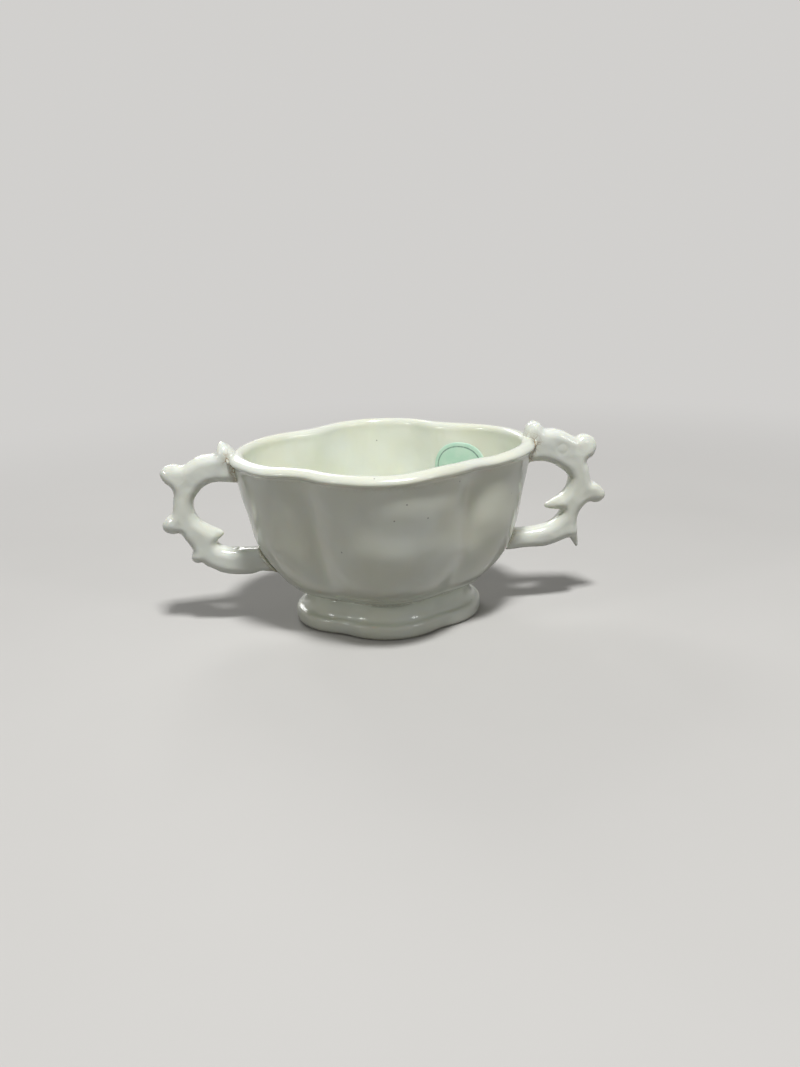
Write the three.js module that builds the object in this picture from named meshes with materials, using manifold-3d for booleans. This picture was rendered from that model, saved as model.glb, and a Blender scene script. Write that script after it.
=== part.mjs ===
// A porcelain cup: a four-lobed bowl on a spreading foot, with two modelled scroll handles.
// Millimetres, +Z up. The cup stands on z = 0, its handles lie along X and its broad side faces -Y.
import * as THREE from "three";
import { mergeVertices } from "three/addons/utils/BufferGeometryUtils.js";
import Module from "manifold-3d";

const wasm = await Module();
wasm.setup();

// Joints: the pieces were stuck together with slip, a thin clay paste.
const CLEARANCE = 0.3; // between a piece and the slip or piece beside it
const SLIP = 0.4; // thickness of a layer of slip
const SLIP_COLLAR = 0.5; // how far the slip is squeezed out round a handle's end

// Bowl: lengths run from handle to handle, widths across. Each outline is four lobes, with a radius for its
// two end lobes and one for its two side lobes.
const RIM_LENGTH = 90.8;
const RIM_WIDTH = 81;
const RIM_END_LOBE = 28.6;
const RIM_SIDE_LOBE = 23.2;
const RIM_HEIGHT = 53.4; // table to the top of the lip
const LIP_OVERHANG = 1.6; // the lip's bead beyond the wall under it
const LIP_HEIGHT = 3.2; // the lip's bead, bottom to top
const WALL = 3;
const FLOOR = 4; // thickness of the bowl's floor
const FLOOR_TURN_HEIGHT = 2; // the curve between the floor and the inside of the wall
const FLOOR_TURN_WIDTH = 4.5;
const BELLY_LENGTH = 80.4; // outside, where the wall turns upright
const BELLY_RISE = 17.6; // from the bowl's underside up to that height
const TURN_LENGTH = 66.6; // outside, half way round the turn below the belly
const TURN_RISE = 5.4;

// Foot
const FOOT_LENGTH = 57.4;
const FOOT_WIDTH = 48.6;
const FOOT_END_LOBE = 19.4;
const FOOT_SIDE_LOBE = 22.4;
const FOOT_HEIGHT = 9.1;
const NECK_LENGTH = 50;
const NECK_WIDTH = 41.8;
const NECK_END_LOBE = 17.2;
const NECK_SIDE_LOBE = 20.4;
const BAND_HEIGHT = 4.6; // the rounded band at the bottom of the foot
const BAND_EDGE = 1.3; // rounding of the band's edges
const FOOT_RING = 4; // width of the flat ring that the cup stands on

// Handles: modelled by hand, so the two are not quite alike.
const HANDLE_REACH = 14.5; // lip to the middle of the strap where it stands out most
const HANDLE_WIDTH = 7.4; // along Y
const ROOT_DROP = 5; // top of the lip to the middle of the joint under it
const ROOT_THICKNESS = 7.6;
const STRAP_THICKNESS = 5.8;
const LEFT_HEAD_DROP = 4.6; // top of the lip to the middle of the head
const LEFT_HEAD_THICKNESS = 7.9;
const LEFT_STALK_HEIGHT = 19.6; // table to the middle of the stalk
const LEFT_STALK_THICKNESS = 7.4;
const RIGHT_HEAD_DROP = 3.4;
const RIGHT_HEAD_THICKNESS = 9;
const RIGHT_STALK_HEIGHT = 21.2;
const RIGHT_STALK_THICKNESS = 6;
const KNOB_ROOT = 2; // how deep a knob's root is set into the strap
const KNOB_WAIST = 0.5; // share of a knob's length at which it narrows

// The middle line of a handle, as shares of its reach beyond the lip and of the height from stalk to head.
const HANDLE_CURVE = [
  [0.32, 1],
  [0.775, 0.905],
  [1, 0.62],
  [0.87, 0.39],
  [0.655, 0.16],
  [0.36, 0.034],
  [0.035, 0],
];

// Where the strap's thickness changes, as shares of its length from head to stalk.
const ROOT_TO_HEAD = [0.05, 0.17];
const HEAD_TO_STRAP = [0.2, 0.42];
const STRAP_TO_STALK = [0.45, 0.7];

// The bits that were rolled by hand and stuck on the strap. Where: share of the strap from head to stalk.
// Face: 1 outside the loop, -1 inside. Stand: the tip's height off the strap. Slide: its shift along the strap.
const KNOBS = {
  left: [
    { name: "crest", where: 0.1, face: 1, stand: 3.3, slide: -0.3, radius: 2.5, tip: 1 },
    { name: "snout", where: 0.283, face: 1, stand: 4.4, slide: 1.4, radius: 3.3, tip: 1.9 },
    { name: "outer_knob", where: 0.474, face: 1, stand: 5.3, slide: 0.9, radius: 2.7, tip: 1.4 },
    { name: "inner_thorn", where: 0.563, face: -1, stand: 3.8, slide: 3.3, radius: 2.5, tip: 0.5 },
    { name: "lower_spur", where: 0.66, face: 1, stand: 1.5, slide: -0.3, radius: 1.5, tip: 1.4 },
  ],
  right: [
    { name: "crest", where: 0.095, face: 1, stand: 3, slide: -0.8, radius: 2.8, tip: 1.5 },
    { name: "snout", where: 0.283, face: 1, stand: 4.6, slide: 0.7, radius: 3.2, tip: 2.4 },
    { name: "outer_knob", where: 0.474, face: 1, stand: 5.3, slide: -0.1, radius: 2.8, tip: 1.6 },
    { name: "inner_thorn", where: 0.563, face: -1, stand: 3.9, slide: 2.6, radius: 2.4, tip: 0.7 },
    { name: "lower_spur", where: 0.63, face: 1, stand: 4.1, slide: 4.9, radius: 1.8, tip: 0.4 },
  ],
};

// Label
const LABEL_DIAMETER = 15.8;
const LABEL_THICKNESS = 0.25;
const LABEL_DROP = 13.8; // top of the lip to the label's middle
const LABEL_ANGLE = THREE.MathUtils.degToRad(38); // from +X towards +Y, at the back

const NOTCH_SHARPNESS = 32; // higher makes a crisper notch between two lobes
const AROUND = 72; // points round the bowl and foot
const WALL_STEPS = 11; // up the bowl's wall
const LIP_OUTSIDE = [-30, 0, 45, 90]; // degrees round the lip's bead, from under it to its top
const LIP_INSIDE = [135, 180];
const EDGE_TURNS = [0, 45, 90]; // degrees round an edge of the foot's band
const HOLLOW_TURNS = [30, 60, 90]; // degrees of the hollow curve from the band to the neck
const STRAP_SIDES = 16;
const STRAP_STEPS = 26;
const STRAP_ROUNDNESS = 0.85; // 1 is an ellipse, less is nearer an oblong
const KNOB_SIDES = 14;
const KNOB_STEPS = 4;
const LABEL_SIDES = 28;
const LABEL_RINGS = [0.5, 1]; // shares of its radius
const WELD = 1e-4; // points nearer than this are one

const PORCELAIN = { color: 0xe9e8dc, roughness: 0.15, metalness: 0 };
const DRIED_SLIP = { color: 0xcfc4a8, roughness: 0.5, metalness: 0 };
const PAPER = { color: 0xb9dcc8, roughness: 0.85, metalness: 0 };

const rimSize = { length: RIM_LENGTH, width: RIM_WIDTH, end: RIM_END_LOBE, side: RIM_SIDE_LOBE };
const footSize = { length: FOOT_LENGTH, width: FOOT_WIDTH, end: FOOT_END_LOBE, side: FOOT_SIDE_LOBE };
const neckSize = { length: NECK_LENGTH, width: NECK_WIDTH, end: NECK_END_LOBE, side: NECK_SIDE_LOBE };
const bowlBase = FOOT_HEIGHT + 2 * CLEARANCE + SLIP;
const lipFoot = RIM_HEIGHT - LIP_HEIGHT;

// The same outline, larger all round by one distance.
function grow(size, by) {
  const { length, width, end, side } = size;
  return { length: length + 2 * by, width: width + 2 * by, end: end + by, side: side + by };
}

// An outline a share of the way from one to another.
function between(from, to, share) {
  const part = (key) => THREE.MathUtils.lerp(from[key], to[key], share);
  return { length: part("length"), width: part("width"), end: part("end"), side: part("side") };
}

// How far a ray from the middle runs to leave a round lobe, or 0 where it misses it or faces away from it.
function lobeReach(half, lobe, turn) {
  const centre = half - lobe;
  const inside = lobe ** 2 - (centre * Math.sin(turn)) ** 2;
  return inside < 0 || Math.cos(turn) < 0 ? 0 : centre * Math.cos(turn) + Math.sqrt(inside);
}

// Radius of a four-lobed outline, its lobes melting together where they meet.
function lobedRadius(size, angle) {
  const quarters = [0, 1, 2, 3].map((quarter) => {
    const turn = angle - (quarter * Math.PI) / 2;
    const atEnd = quarter % 2 === 0;
    return atEnd ? lobeReach(size.length / 2, size.end, turn) : lobeReach(size.width / 2, size.side, turn);
  });
  const sum = quarters.reduce((total, reach) => total + reach ** NOTCH_SHARPNESS, 0);
  return sum ** (1 / NOTCH_SHARPNESS);
}

function lobedRing(size, z) {
  return Array.from({ length: AROUND }, (_, i) => {
    const angle = (i / AROUND) * 2 * Math.PI;
    const radius = lobedRadius(size, angle);
    return new THREE.Vector3(radius * Math.cos(angle), radius * Math.sin(angle), z);
  });
}

// A closed skin over rings of points. Rings of one point close its ends, or else the last ring joins the first.
function loft(rings) {
  const vertices = rings.flat();
  const starts = rings.map((_, i) => rings.slice(0, i).reduce((sum, ring) => sum + ring.length, 0));
  const faces = [];
  const looped = rings[0].length > 1;
  const spans = looped ? rings.length : rings.length - 1;
  for (let i = 0; i < spans; i++) {
    const next = (i + 1) % rings.length;
    const count = Math.max(rings[i].length, rings[next].length);
    const at = (ring, j) => starts[ring] + (j % count) % rings[ring].length;
    for (let j = 0; j < count; j++) {
      if (rings[i].length > 1) faces.push(at(i, j), at(i, j + 1), at(next, j + 1));
      if (rings[next].length > 1) faces.push(at(i, j), at(next, j + 1), at(next, j));
    }
  }
  const geometry = new THREE.BufferGeometry().setFromPoints(vertices);
  geometry.setIndex(faces);
  return geometry;
}

// Between a geometry and a solid that can be cut and joined.
function solid(geometry) {
  const bare = geometry.clone();
  bare.deleteAttribute("normal");
  bare.deleteAttribute("uv");
  const merged = mergeVertices(bare, WELD);
  const vertProperties = new Float32Array(merged.attributes.position.array);
  const triVerts = new Uint32Array(merged.index.array);
  return new wasm.Manifold(new wasm.Mesh({ numProp: 3, vertProperties, triVerts }));
}

function named(name, shape, finish) {
  let geometry = shape;
  if (!shape.isBufferGeometry) {
    const cut = shape.getMesh();
    geometry = new THREE.BufferGeometry();
    geometry.setAttribute("position", new THREE.BufferAttribute(cut.vertProperties, 3));
    geometry.setIndex(new THREE.BufferAttribute(cut.triVerts, 1));
  }
  geometry.computeVertexNormals();
  const mesh = new THREE.Mesh(geometry, new THREE.MeshStandardMaterial(finish));
  mesh.name = name;
  return mesh;
}

// The bowl's wall from its underside to just under the lip, as half-length against height.
const underLip = grow(rimSize, -LIP_OVERHANG);
const wallCurve = new THREE.SplineCurve([
  new THREE.Vector2(NECK_LENGTH / 2, bowlBase),
  new THREE.Vector2(TURN_LENGTH / 2, bowlBase + TURN_RISE),
  new THREE.Vector2(BELLY_LENGTH / 2, bowlBase + BELLY_RISE),
  new THREE.Vector2(underLip.length / 2, lipFoot),
]);

function wallLevels() {
  return wallCurve.getPoints(WALL_STEPS).map((point) => {
    const share = (2 * point.x - NECK_LENGTH) / (underLip.length - NECK_LENGTH);
    return { size: between(neckSize, underLip, share), z: point.y };
  });
}

// The outside of the wall at any height, found between the two nearest levels.
function wallSizeAt(z) {
  const levels = wallLevels();
  const reached = levels.filter((level) => level.z < z).length;
  const above = THREE.MathUtils.clamp(reached, 1, levels.length - 1);
  const low = levels[above - 1];
  const high = levels[above];
  return between(low.size, high.size, (z - low.z) / (high.z - low.z));
}

// The lip's bead is an oval as wide as the wall and its overhang, grown all round by one distance.
function lipRings(turns, extra) {
  const half = (WALL + LIP_OVERHANG) / 2;
  const middle = RIM_HEIGHT - LIP_HEIGHT / 2;
  return turns.map((degrees) => {
    const turn = THREE.MathUtils.degToRad(degrees);
    const out = (half + extra) * Math.cos(turn) - half;
    return lobedRing(grow(rimSize, out), middle + (LIP_HEIGHT / 2 + extra) * Math.sin(turn));
  });
}

// The bowl filled to the brim, grown all round: what its neighbours are cut by.
function filledBowl(extra) {
  const wall = wallLevels().map(({ size, z }) => lobedRing(grow(size, extra), z));
  const underside = [new THREE.Vector3(0, 0, bowlBase - extra)];
  const brim = [new THREE.Vector3(0, 0, RIM_HEIGHT + extra)];
  const foot = lobedRing(grow(neckSize, extra), bowlBase - extra);
  return solid(loft([underside, foot, ...wall.slice(1), ...lipRings(LIP_OUTSIDE, extra), brim]));
}

// The inside of the wall follows the outside, and turns into the floor.
function insideLevels() {
  const floorTop = bowlBase + FLOOR;
  const clear = wallLevels().filter(({ z }) => z > floorTop + FLOOR_TURN_HEIGHT);
  const sides = clear.map(({ size, z }) => ({ size: grow(size, -WALL), z }));
  return [{ size: grow(sides[0].size, -FLOOR_TURN_WIDTH), z: floorTop }, ...sides];
}

function bowl() {
  const outside = wallLevels().map(({ size, z }) => lobedRing(size, z));
  const inside = insideLevels().map(({ size, z }) => lobedRing(size, z)).reverse();
  const lip = lipRings([...LIP_OUTSIDE, ...LIP_INSIDE], 0);
  const underside = [new THREE.Vector3(0, 0, bowlBase)];
  const floor = [new THREE.Vector3(0, 0, bowlBase + FLOOR)];
  return named("bowl", loft([underside, ...outside, ...lip, ...inside, floor]), PORCELAIN);
}

// The foot: an upright band with rounded edges, a hollow curve up to the neck, and a recess under the cup.
function footRing() {
  const edge = EDGE_TURNS.map((degrees) => {
    const turn = THREE.MathUtils.degToRad(degrees);
    return { size: grow(footSize, BAND_EDGE * (Math.sin(turn) - 1)), lift: BAND_EDGE * (1 - Math.cos(turn)) };
  });
  const shoulder = grow(footSize, -BAND_EDGE);
  const hollow = HOLLOW_TURNS.map((degrees) => {
    const turn = THREE.MathUtils.degToRad(degrees);
    const z = THREE.MathUtils.lerp(FOOT_HEIGHT, BAND_HEIGHT, Math.cos(turn));
    return lobedRing(between(shoulder, neckSize, Math.sin(turn)), z);
  });
  const rings = [
    ...edge.map(({ size, lift }) => lobedRing(size, lift)),
    ...edge.toReversed().map(({ size, lift }) => lobedRing(size, BAND_HEIGHT - lift)),
    ...hollow,
    lobedRing(grow(neckSize, -FOOT_RING), FOOT_HEIGHT),
    lobedRing(grow(shoulder, -FOOT_RING), 0),
  ];
  return named("foot_ring", loft(rings), PORCELAIN);
}

function footSlip() {
  const low = FOOT_HEIGHT + CLEARANCE;
  const rings = [
    lobedRing(neckSize, low),
    lobedRing(neckSize, low + SLIP),
    lobedRing(grow(neckSize, -FOOT_RING), low + SLIP),
    lobedRing(grow(neckSize, -FOOT_RING), low),
  ];
  return named("foot_slip", loft(rings), DRIED_SLIP);
}

// The two handles differ where the hand that modelled them did.
const SIDES = {
  left: {
    headHeight: RIM_HEIGHT - LEFT_HEAD_DROP,
    headThickness: LEFT_HEAD_THICKNESS,
    stalkHeight: LEFT_STALK_HEIGHT,
    stalkThickness: LEFT_STALK_THICKNESS,
  },
  right: {
    headHeight: RIM_HEIGHT - RIGHT_HEAD_DROP,
    headThickness: RIGHT_HEAD_THICKNESS,
    stalkHeight: RIGHT_STALK_HEIGHT,
    stalkThickness: RIGHT_STALK_THICKNESS,
  },
};

// The middle line of a handle, rooted inside the wall at both ends.
function handleSpine({ headHeight, stalkHeight }) {
  const inWall = (z) => new THREE.Vector3(wallSizeAt(z).length / 2 - WALL, 0, z);
  const free = HANDLE_CURVE.map(([out, up]) => {
    const z = THREE.MathUtils.lerp(stalkHeight, headHeight, up);
    return new THREE.Vector3(RIM_LENGTH / 2 + out * HANDLE_REACH, 0, z);
  });
  return new THREE.CatmullRomCurve3([inWall(RIM_HEIGHT - ROOT_DROP), ...free, inWall(stalkHeight)]);
}

// Thickness across the strap: full at the head, slim at the outside, fuller again at the stalk.
function strapThickness({ headThickness, stalkThickness }, share) {
  const { smoothstep, lerp } = THREE.MathUtils;
  const head = lerp(ROOT_THICKNESS, headThickness, smoothstep(share, ...ROOT_TO_HEAD));
  const strap = lerp(head, STRAP_THICKNESS, smoothstep(share, ...HEAD_TO_STRAP));
  return lerp(strap, stalkThickness, smoothstep(share, ...STRAP_TO_STALK));
}

// A point of the middle line with the direction along it and the direction out of the handle's loop.
function spineFrame(spine, share) {
  const along = spine.getTangentAt(share);
  return { at: spine.getPointAt(share), along, out: new THREE.Vector3(-along.z, 0, along.x) };
}

// The strap of a handle, grown all round by one distance. Its section is a rounded oblong.
function strap(side, spine, extra) {
  const soften = (value) => Math.sign(value) * Math.abs(value) ** STRAP_ROUNDNESS;
  const rings = [];
  for (let step = 0; step <= STRAP_STEPS; step++) {
    const share = step / STRAP_STEPS;
    const { at, out } = spineFrame(spine, share);
    const thick = strapThickness(side, share) / 2 + extra;
    const wide = HANDLE_WIDTH / 2 + extra;
    const ring = Array.from({ length: STRAP_SIDES }, (_, i) => {
      const turn = (i / STRAP_SIDES) * 2 * Math.PI;
      const point = at.clone().addScaledVector(out, thick * soften(Math.cos(turn)));
      point.y = -wide * soften(Math.sin(turn));
      return point;
    });
    rings.push(ring);
  }
  const [start, end] = [0, 1].map((share) => [spine.getPointAt(share)]);
  return solid(loft([start, ...rings, end]));
}

// A knob turned about its own axis: a round root, a taper and a rounded tip.
function knob(side, spine, spec) {
  const reach = KNOB_ROOT + Math.hypot(spec.stand, spec.slide);
  const outline = new THREE.Path();
  outline.moveTo(0, 0);
  outline.lineTo(spec.radius, 0);
  const waist = reach * KNOB_WAIST;
  outline.bezierCurveTo(spec.radius, waist, spec.tip, waist, spec.tip, reach - spec.tip);
  outline.quadraticCurveTo(spec.tip, reach, 0, reach);
  const turned = new THREE.LatheGeometry(outline.getPoints(KNOB_STEPS), KNOB_SIDES);
  const { at, along, out } = spineFrame(spine, spec.where);
  const facing = out.clone().multiplyScalar(spec.face);
  const axis = facing.clone().multiplyScalar(spec.stand).addScaledVector(along, spec.slide).normalize();
  const root = at.clone().addScaledVector(facing, strapThickness(side, spec.where) / 2);
  root.addScaledVector(axis, -KNOB_ROOT);
  const sideways = new THREE.Vector3(0, 1, 0);
  const across = axis.clone().cross(sideways);
  turned.applyMatrix4(new THREE.Matrix4().makeBasis(across, axis, sideways).setPosition(root));
  return solid(turned);
}

// One handle with its slip and its knobs, made at +X.
function handle(name) {
  const group = new THREE.Group();
  const side = SIDES[name];
  const spine = handleSpine(side);
  const clearOfSlip = filledBowl(2 * CLEARANCE + SLIP);
  group.add(named(`${name}_handle`, strap(side, spine, 0).subtract(clearOfSlip), PORCELAIN));

  const paste = filledBowl(CLEARANCE + SLIP).subtract(filledBowl(CLEARANCE));
  const pads = strap(side, spine, SLIP_COLLAR).intersect(paste).decompose();
  pads.sort((a, b) => b.boundingBox().max[2] - a.boundingBox().max[2]);
  group.add(named(`${name}_upper_slip`, pads[0], DRIED_SLIP));
  group.add(named(`${name}_lower_slip`, pads[1], DRIED_SLIP));

  const taken = strap(side, spine, CLEARANCE).add(clearOfSlip);
  for (const spec of KNOBS[name]) {
    group.add(named(`${name}_${spec.name}`, knob(side, spine, spec).subtract(taken), PORCELAIN));
  }
  return group;
}

// A round paper label that follows the inside of the wall.
function label() {
  const middle = RIM_HEIGHT - LABEL_DROP;
  const inset = (angle, z, depth) => lobedRadius(grow(wallSizeAt(z), -WALL - depth), angle);
  const reach = inset(LABEL_ANGLE, middle, 0);
  const spot = (share, turn, depth) => {
    const across = (share * LABEL_DIAMETER * Math.cos(turn)) / 2;
    const z = middle + (share * LABEL_DIAMETER * Math.sin(turn)) / 2;
    const angle = LABEL_ANGLE - across / reach;
    const radius = inset(angle, z, CLEARANCE + depth);
    return new THREE.Vector3(radius * Math.cos(angle), radius * Math.sin(angle), z);
  };
  const circle = (share, depth) =>
    Array.from({ length: LABEL_SIDES }, (_, i) => spot(share, (i / LABEL_SIDES) * 2 * Math.PI, depth));
  const rings = [
    [spot(0, 0, 0)],
    ...LABEL_RINGS.map((share) => circle(share, 0)),
    ...LABEL_RINGS.toReversed().map((share) => circle(share, LABEL_THICKNESS)),
    [spot(0, 0, LABEL_THICKNESS)],
  ];
  return named("paper_label", loft(rings), PAPER);
}

const cup = new THREE.Group();
cup.add(bowl(), footRing(), footSlip(), label());
const right = handle("right");
const left = handle("left");
left.rotation.z = Math.PI;
cup.add(right, left);

export default cup;
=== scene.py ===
# %% [markdown]
# # A lobed porcelain cup
# The real cup is white porcelain: a bowl of four lobes on a spreading foot, with a hand-modelled scroll
# handle at each end. The measured solids come in as a frame that stays where it is. Each piece below is
# made again with a finer surface, in the same place, and takes its sizes from that frame.

# %% Load the measured cup
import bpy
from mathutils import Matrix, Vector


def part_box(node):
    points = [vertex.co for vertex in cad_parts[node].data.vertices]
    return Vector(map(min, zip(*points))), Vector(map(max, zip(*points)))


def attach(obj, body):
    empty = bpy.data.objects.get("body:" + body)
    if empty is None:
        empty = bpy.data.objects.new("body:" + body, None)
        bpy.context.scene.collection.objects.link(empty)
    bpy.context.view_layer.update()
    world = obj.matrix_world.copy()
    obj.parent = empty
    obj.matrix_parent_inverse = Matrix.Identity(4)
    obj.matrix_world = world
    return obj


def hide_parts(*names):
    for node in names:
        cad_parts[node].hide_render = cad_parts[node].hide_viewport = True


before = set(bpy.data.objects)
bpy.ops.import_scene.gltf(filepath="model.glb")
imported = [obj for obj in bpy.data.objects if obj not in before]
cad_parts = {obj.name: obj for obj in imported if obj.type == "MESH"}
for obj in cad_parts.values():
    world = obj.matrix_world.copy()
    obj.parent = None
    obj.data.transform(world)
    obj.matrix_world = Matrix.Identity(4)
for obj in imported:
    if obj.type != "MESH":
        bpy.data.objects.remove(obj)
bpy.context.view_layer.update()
print("Measured nodes:", len(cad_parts))

# %% Fetch the libraries and set the unit
import math

import bmesh
import bpy
import numpy as np
from mathutils import Matrix, Vector, noise
from mathutils.bvhtree import BVHTree

MM = 0.001  # the sizes below are in millimetres, and Blender's are in metres
scene = bpy.context.scene
scene.view_settings.view_transform = "Standard"


def size_of(node):
    low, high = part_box(node)
    return (high - low) / MM


print("Bowl, mm:", [round(side, 1) for side in size_of("bowl")])

# %% [markdown]
# ## The camera
# A camera could be turned by eye until the picture looks right. Here its place was worked out from the
# cup's outline, so the eye, the tilt and the lean are written down as plain sizes and angles.

# %% Stand the camera where the photograph was taken
EYE = Vector((-16.8, -262.2, 108.9)) * MM
LOOK_DOWN = math.radians(17.72)
TURN = math.radians(4.59)
LEAN = math.radians(2.25)
PICTURE_HEIGHT = 1067  # pixels
FOCAL_LENGTH = 900  # pixels
SENSOR = 36  # millimetres along the picture's height

level_right = Vector((math.cos(TURN), -math.sin(TURN), 0))
ahead = Vector((math.sin(TURN), math.cos(TURN), -math.tan(LOOK_DOWN))).normalized()
level_up = level_right.cross(ahead)
right = math.cos(LEAN) * level_right - math.sin(LEAN) * level_up
up = math.sin(LEAN) * level_right + math.cos(LEAN) * level_up

camera_data = bpy.data.cameras.new("camera")
camera_data.sensor_fit = "VERTICAL"
camera_data.sensor_height = SENSOR
camera_data.lens = SENSOR * FOCAL_LENGTH / PICTURE_HEIGHT
camera_data.clip_start = 10 * MM
camera = bpy.data.objects.new("camera", camera_data)
camera.matrix_world = Matrix.Translation(EYE) @ Matrix((right, up, -ahead)).transposed().to_4x4()
scene.collection.objects.link(camera)
scene.camera = camera
print("Lens, mm:", round(camera_data.lens, 2))

# %% [markdown]
# ## Helpers for materials
# A material is a small graph of nodes. Building one by hand in the Shader Editor is easy to see but hard
# to repeat. So short helpers start a material, add a node with its inputs linked or set, and mix two
# colours, and a second cell adds noise, ramps, sums and layers that are painted on a mesh.

# %% Make nodes, links and mixes
def new_material(name):
    material = bpy.data.materials.new(name)
    material.use_nodes = True
    shader = material.node_tree.nodes["Principled BSDF"]
    return material, material.node_tree, shader


def add_node(tree, kind, inputs=None, **properties):
    node = tree.nodes.new(kind)
    for name, value in properties.items():
        setattr(node, name, value)
    for socket, value in (inputs or {}).items():
        if isinstance(value, bpy.types.NodeSocket):
            tree.links.new(value, node.inputs[socket])
        else:
            node.inputs[socket].default_value = value
    return node


def mix_colours(tree, amount, first, second):
    inputs = {0: amount, 6: first, 7: second}  # the Mix node's sockets for colours
    return add_node(tree, "ShaderNodeMix", inputs, data_type="RGBA").outputs[2]


print("Material helpers ready")

# %% Make noise, ramps and sums
def grain(tree, size, detail=3, stretch=(1, 1, 1)):
    """Cloudy noise whose patches are about one size across, in millimetres."""
    place = add_node(tree, "ShaderNodeTexCoord").outputs["Object"]
    mapped = add_node(tree, "ShaderNodeMapping", {"Vector": place, "Scale": stretch}).outputs["Vector"]
    inputs = {"Vector": mapped, "Scale": 1 / (size * MM), "Detail": detail}
    return add_node(tree, "ShaderNodeTexNoise", inputs).outputs["Fac"]


def ramp(tree, value, start, stop, low=0.0, high=1.0):
    inputs = {"Value": value, "From Min": start, "From Max": stop, "To Min": low, "To Max": high}
    return add_node(tree, "ShaderNodeMapRange", inputs, interpolation_type="SMOOTHSTEP").outputs["Result"]


def calculate(tree, operation, first, second):
    inputs = {0: first, 1: second}
    return add_node(tree, "ShaderNodeMath", inputs, operation=operation).outputs["Value"]


def painted(tree, layer):
    """A layer of numbers that the mesh carries, one for each point."""
    return add_node(tree, "ShaderNodeAttribute", attribute_name=layer).outputs["Fac"]


print("Texture helpers ready")

# %% [markdown]
# ## The floor and the light
# The cup stands under one strong lamp, so its inside is bright and its front falls into soft shade. A sky
# picture would light it too, but a few plain area lamps over a pale floor show the shape best.

# %% Lay the floor
FLOOR_COLOUR = (0.62, 0.61, 0.59, 1)
CLOUDY_FLOOR = (0.59, 0.58, 0.56, 1)
UNSEEN_FLOOR = (0.17, 0.165, 0.155, 1)  # the colour of the light that it throws up at the cup
BACKDROP = (0.64, 0.63, 0.615, 1)
FLOOR_CLOUDS = 60
FLOOR_SPAN = 12000
FLOOR_DROP = 0.05  # keeps the floor's face clear of the foot's
FADE_START, FADE_STOP = 110, 420  # how far from the cup the floor melts into the backdrop

floor_data = bpy.data.meshes.new("floor")
corners = [(x * FLOOR_SPAN / 2 * MM, y * FLOOR_SPAN / 2 * MM, -FLOOR_DROP * MM)
           for x, y in ((-1, -1), (1, -1), (1, 1), (-1, 1))]
floor_data.from_pydata(corners, [], [(0, 1, 2, 3)])
floor = bpy.data.objects.new("floor", floor_data)
scene.collection.objects.link(floor)
print("Floor, m across:", FLOOR_SPAN * MM)

# %% Fade the floor into the backdrop
def seen_rays(tree):
    """1 for a ray from the camera, a gloss or a glass, 0 for one that lights something."""
    rays = add_node(tree, "ShaderNodeLightPath").outputs
    seen = calculate(tree, "MAXIMUM", rays["Is Camera Ray"], rays["Is Glossy Ray"])
    return calculate(tree, "MAXIMUM", seen, rays["Is Transmission Ray"])


floor_paper, tree, shader = new_material("pale_floor")
seen = seen_rays(tree)
pale = mix_colours(tree, grain(tree, FLOOR_CLOUDS), FLOOR_COLOUR, CLOUDY_FLOOR)
tree.links.new(mix_colours(tree, seen, UNSEEN_FLOOR, pale), shader.inputs["Base Color"])
shader.inputs["Roughness"].default_value = 0.7
shader.inputs["Specular IOR Level"].default_value = 0.2
here = add_node(tree, "ShaderNodeTexCoord").outputs["Object"]
distance = add_node(tree, "ShaderNodeVectorMath", {0: here}, operation="LENGTH").outputs["Value"]
far = calculate(tree, "MULTIPLY", ramp(tree, distance, FADE_START * MM, FADE_STOP * MM), seen)
glow = add_node(tree, "ShaderNodeEmission", {"Color": BACKDROP, "Strength": 1.0})
fade = add_node(tree, "ShaderNodeMixShader",
                {0: far, 1: shader.outputs["BSDF"], 2: glow.outputs["Emission"]})
tree.links.new(fade.outputs["Shader"], tree.nodes["Material Output"].inputs["Surface"])
floor_data.materials.append(floor_paper)
print("Floor fades out by, mm:", FADE_STOP)

# %% Hang the lamps
LAMPS = {
    # name: (place in mm, aim in mm, side in mm, watts)
    "overhead": ((60, -290, 860), (0, 0, 30), 120, 6.8),
    "window": ((620, -560, 420), (0, 0, 35), 180, 0.75),
    "left_strip": ((-640, -330, 330), (0, 0, 35), 100, 0.6),
    "back_wall": ((-240, 760, 480), (0, 0, 35), 360, 1.8),
}
for name, (place, aim, side, watts) in LAMPS.items():
    lamp_data = bpy.data.lights.new(name, "AREA")
    lamp_data.size = side * MM
    lamp_data.energy = watts
    lamp = bpy.data.objects.new(name, lamp_data)
    lamp.location = Vector(place) * MM
    lamp.rotation_euler = (Vector(aim) - Vector(place)).to_track_quat("-Z", "Y").to_euler()
    scene.collection.objects.link(lamp)
print("Lamps:", ", ".join(LAMPS))

# %% Fill the room
ROOM_LIGHT = 0.14

world = bpy.data.worlds.new("room")
scene.world = world
world.use_nodes = True
tree = world.node_tree
background = tree.nodes["Background"]
background.inputs["Color"].default_value = BACKDROP
tree.links.new(ramp(tree, seen_rays(tree), 0, 1, ROOM_LIGHT, 1.0), background.inputs["Strength"])
print("Room light:", ROOM_LIGHT)
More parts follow.
